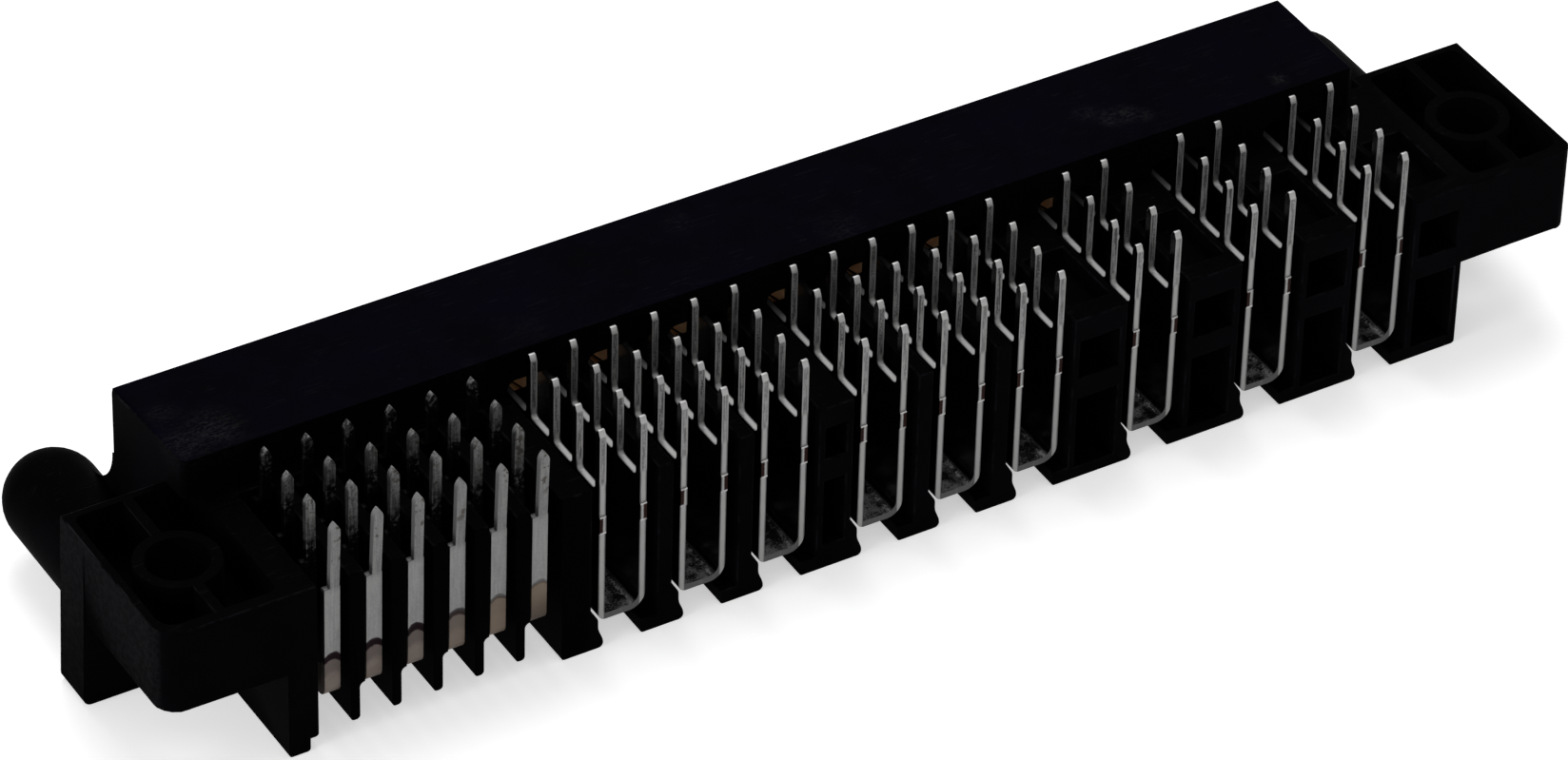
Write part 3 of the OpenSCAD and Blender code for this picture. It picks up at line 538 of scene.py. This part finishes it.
def signal_finish():
    material, start, place, facing = new_finish("signal_tin")
    x, y, z = place.axes()
    fx, _, fz = facing.axes()
    along = start.node("ShaderNodeAttribute", {"attribute_name": "along"}, out="Fac") * MM
    across = x - along - FIRST_COLUMN
    worn = (along * WORN_PER_MM).rise(0.35, 0.95)
    cloud = start.noise(place, 1.1, 5.0, 0.65)
    specks = start.noise(place, 8.0, 4.0, 0.7)
    drawn = start.noise(place.scaled((8.0, 8.0, 0.5)), 1.0, 3.0, 0.6)
    shine = (0.5 * specks + 0.5 * drawn).rise(0.38, 0.62)

    # tin on the bars and tails, streaky on the inner rows, with small pits on the tails
    tail = z.rise(*TAILS_OVER)
    streaky = tail * y.rise(*INNER_TAILS_FROM)
    tin = tail.mix(shine.mix(BAR_DULL, BAR_BRIGHT), shine.mix(TAIL_DULL, TAIL_BRIGHT))
    tin = streaky.mix(tin, shine.mix(STREAK_DULL, STREAK_BRIGHT))
    pits = start.noise(place, 2.6).rise(0.58, 0.64) * z.rise(*PITS_OVER)
    tin = pits.mix(tin, PIT)
    flank = abs(fx).rise(0.5, 0.9)
    tail_flank = streaky.mix(TAIL_FLANK, shine.mix(FLANK_DULL, FLANK_BRIGHT))
    tin = flank.mix(tin, tail.mix(BAR_FLANK, tail_flank))

    # painted shade on the inner rows, darker towards their shoulders, from higher up the nearer they are to
    # the block
    blotch = start.noise(place, 3.4, 3.0, 0.6).rise(0.36, 0.56) * 0.75
    inner = y.rise(*INNER_FROM)
    inner_row_shade = (SHADE_SLOPE * y + SHADE_HEIGHT - z + 2.0 * (blotch - 0.4)).rise(*SHADE_OVER) * inner
    tin = inner_row_shade.mix(tin, shine.mix(SHADE_DARK, SHADE_PALE))
    # painted shade on the shoulders that look up, darkest on the inner rows
    shoulder_shade = fz.rise(0.6, 0.9) * (1 - z.rise(*SHOULDERS_TO))
    tin = shoulder_shade.mix(tin, inner.mix(SHOULDER_SHADE, INNER_SHOULDER_SHADE))

    # tan below the bowed dark line where the plating ends, more worn towards the last column
    edge = z + 0.4 * cloud + LINE_BOW * across * across
    below = 1 - edge.rise(*TAN_TO)
    tan = cloud.rise(0.3, 0.7).mix(TAN_DARK, TAN_PALE)
    tan = worn.mix(tan, TAN_WORN)
    band = (edge + 0.5 * specks).rise(*BAND_FROM) * (1 - worn)
    tan = band.mix(tan, TAN_BAND)
    foot = along.rise(*LAST_COLUMN_FROM) * (1 - z.rise(*FOOT_TO))
    tan = foot.mix(tan, TAN_FOOT)
    thinner = LINE_THINNER * worn
    line = edge.rise(LINE_FROM[0] + thinner, LINE_FROM[1] + thinner) - edge.rise(*LINE_TO)
    colour = below.mix(tin, tan)
    colour = (line * (1 - 0.45 * worn)).mix(colour, PLATING_LINE)

    height = specks * 0.5 + drawn * 0.5
    set_surface(start, height, strength=0.4, distance=0.00002, sockets={
        "Base Color": colour,
        "Metallic": 1 - 0.8 * flank * tail * (1 - streaky),
        "Roughness": 0.34 + 0.2 * cloud + 0.2 * below,
    })
    return material


def signal_grid(piece, material):
    """Repeats the first column of four, and leans the tails: each a little, the first row backwards."""
    sizes = {"Columns": len(COLUMNS), "Column step": COLUMN_STEP, "Lean": TAIL_LEAN, "Lean rate": LEAN_RATE,
             "Seat": SEAT, "Side lean": SIDE_LEAN, "Back lean": BACK_LEAN, "Bend start": BEND_START,
             "First row end": FIRST_ROW_TO, "Seed": LEAN_SEED}
    start, column, size, keys = new_tree("signal_grid", "Column", sizes)
    along = start.node("GeometryNodeInputIndex") * size["Column step"]
    grid = in_a_line(start, column, size["Columns"], along)
    depth, height = start.node("GeometryNodeInputPosition").axes()[1:]
    rise = start.maths("MAXIMUM", height - size["Seat"], 0.0)
    island = start.node("GeometryNodeInputMeshIsland")
    low = start.node("ShaderNodeCombineXYZ", None, {"X": 0 - size["Lean"], "Y": 0 - size["Lean"]})
    high = start.node("ShaderNodeCombineXYZ", None, {"X": size["Lean"], "Y": size["Lean"]})
    lean = start.node("FunctionNodeRandomValue", {"data_type": "FLOAT_VECTOR"}, {
        "Min": low, "Max": high, "ID": island, "Seed": size["Seed"]})
    bent = start.node("ShaderNodeVectorMath", {"operation": "SCALE"}, {
        "Vector": lean, "Scale": rise * size["Lean rate"]})
    first_row = start.maths("LESS_THAN", depth, size["First row end"])
    over = start.maths("MAXIMUM", height - size["Bend start"], 0.0)
    pushed = start.node("ShaderNodeCombineXYZ", None, {
        "X": rise * size["Side lean"], "Y": 0 - first_row * over * size["Back lean"]})
    moved = start.node("ShaderNodeVectorMath", {"operation": "ADD"}, {"Vector": bent, "Vector_001": pushed})
    leaning = start.node("GeometryNodeSetPosition", None, {"Geometry": grid, "Offset": moved})
    use_tree(piece, start, leaning, material, sizes, keys)


signal_tin = signal_finish()
signal = softened("signal_contacts", [f"{COLUMNS[0]}_{r}" for r in ROWS], CONTACT_ROUNDING, CONTACT_EDGE_OVER)
signal_grid(signal, signal_tin)
settle(signal, signal_tin, [f"{c}_{r}" for c in COLUMNS for r in ROWS])


# The ground is a pale sheet just under the part, white to the camera where the light reaches
# it, with the part's soft shadow left on it.

GROUND_REACH = 4
GROUND_LEVEL = -0.00002
PAPER = grey(0.8)
PAPER_LIFT = 0.50


def seen(start):
    """1 for a ray from the camera, or one that gloss or clear stuff has turned."""
    rays = start.node("ShaderNodeLightPath").socket.node.outputs
    camera_ray, glossy_ray, clear_ray = [Sock(start.tree, rays[f"Is {kind} Ray"])
                                         for kind in ("Camera", "Glossy", "Transmission")]
    return start.maths("MINIMUM", camera_ray + glossy_ray + clear_ray, 1.0)


def ground_finish():
    material = bpy.data.materials.new("pale_ground")
    material.use_nodes = True
    material.node_tree.nodes.clear()
    start = Sock(material.node_tree)
    paper = start.node("ShaderNodeBsdfDiffuse", None, {"Color": PAPER})
    lift = start.node("ShaderNodeEmission", None, {"Color": grey(1.0), "Strength": PAPER_LIFT})
    lifted = start.node("ShaderNodeAddShader", None, {"Shader": paper, "Shader_001": lift})
    shown = start.node("ShaderNodeMixShader", None,
                       {"Fac": seen(start), "Shader": paper, "Shader_001": lifted})
    start.node("ShaderNodeOutputMaterial", None, {"Surface": shown})
    return material


ground_mesh = bpy.data.meshes.new("ground")
corners = [(GROUND_REACH * i, GROUND_REACH * j, GROUND_LEVEL)
           for i, j in ((-1, -1), (1, -1), (1, 1), (-1, 1))]
ground_mesh.from_pydata(corners, [], [(0, 1, 2, 3)])
ground_mesh.materials.append(ground_finish())
ground = bpy.data.objects.new("ground", ground_mesh)
bpy.context.scene.collection.objects.link(ground)


# The light is a soft lamp at the part's left, another further off, above and on the mating
# side, and an even room light. The room is white where it is seen or mirrored.

ROOM_LIGHT = 0.45


def soft_light(name, at, size, watts):
    """A round lamp that points at the middle of the part."""
    lamp = bpy.data.lights.new(name, "AREA")
    lamp.shape = "DISK"
    lamp.size = size
    lamp.energy = watts
    holder = bpy.data.objects.new(name, lamp)
    holder.location = at
    holder.rotation_euler = Vector(at).to_track_quat("Z", "Y").to_euler()
    bpy.context.scene.collection.objects.link(holder)


soft_light("left_light", at=(-0.45, -0.05, 0.16), size=0.30, watts=0.9)
soft_light("top_light", at=(0.10, 0.25, 0.55), size=0.40, watts=2.0)

room = bpy.data.worlds.new("room")
room.use_nodes = True
room.node_tree.nodes.clear()
start = Sock(room.node_tree)
glow = start.node("ShaderNodeBackground", None, {"Color": grey(1.0), "Strength": ROOM_LIGHT})
white = start.node("ShaderNodeBackground", None, {"Color": grey(1.0), "Strength": 1.0})
shown = start.node("ShaderNodeMixShader", None, {"Fac": seen(start), "Shader": glow, "Shader_001": white})
start.node("ShaderNodeOutputWorld", None, {"Surface": shown})
bpy.context.scene.world = room
bpy.context.scene.view_settings.view_transform = "Standard"


# The camera is that of the photograph: a long lens to the left, above and behind the tails,
# with its place in metres and its lens in mm.

AZIMUTH, ELEVATION, ROLL = math.radians(-31.638), math.radians(37.858), math.radians(1.646)
CAMERA_PLACE = (-0.19088, -0.31005, 0.28625)
FOCAL_LENGTH, SENSOR_WIDTH = 187.4, 36.0

back = Vector((math.sin(AZIMUTH) * math.cos(ELEVATION), -math.cos(AZIMUTH) * math.cos(ELEVATION),
               math.sin(ELEVATION)))
level = Vector((math.cos(AZIMUTH), math.sin(AZIMUTH), 0.0))
right = level * math.cos(ROLL) + back.cross(level) * math.sin(ROLL)
turn = Matrix((right, back.cross(right), back)).transposed()
lens = bpy.data.cameras.new("camera")
lens.sensor_fit = "HORIZONTAL"
lens.sensor_width = SENSOR_WIDTH
lens.lens = FOCAL_LENGTH
camera = bpy.data.objects.new("camera", lens)
camera.matrix_world = Matrix.Translation(CAMERA_PLACE) @ turn.to_4x4()
bpy.context.scene.collection.objects.link(camera)
bpy.context.scene.camera = camera
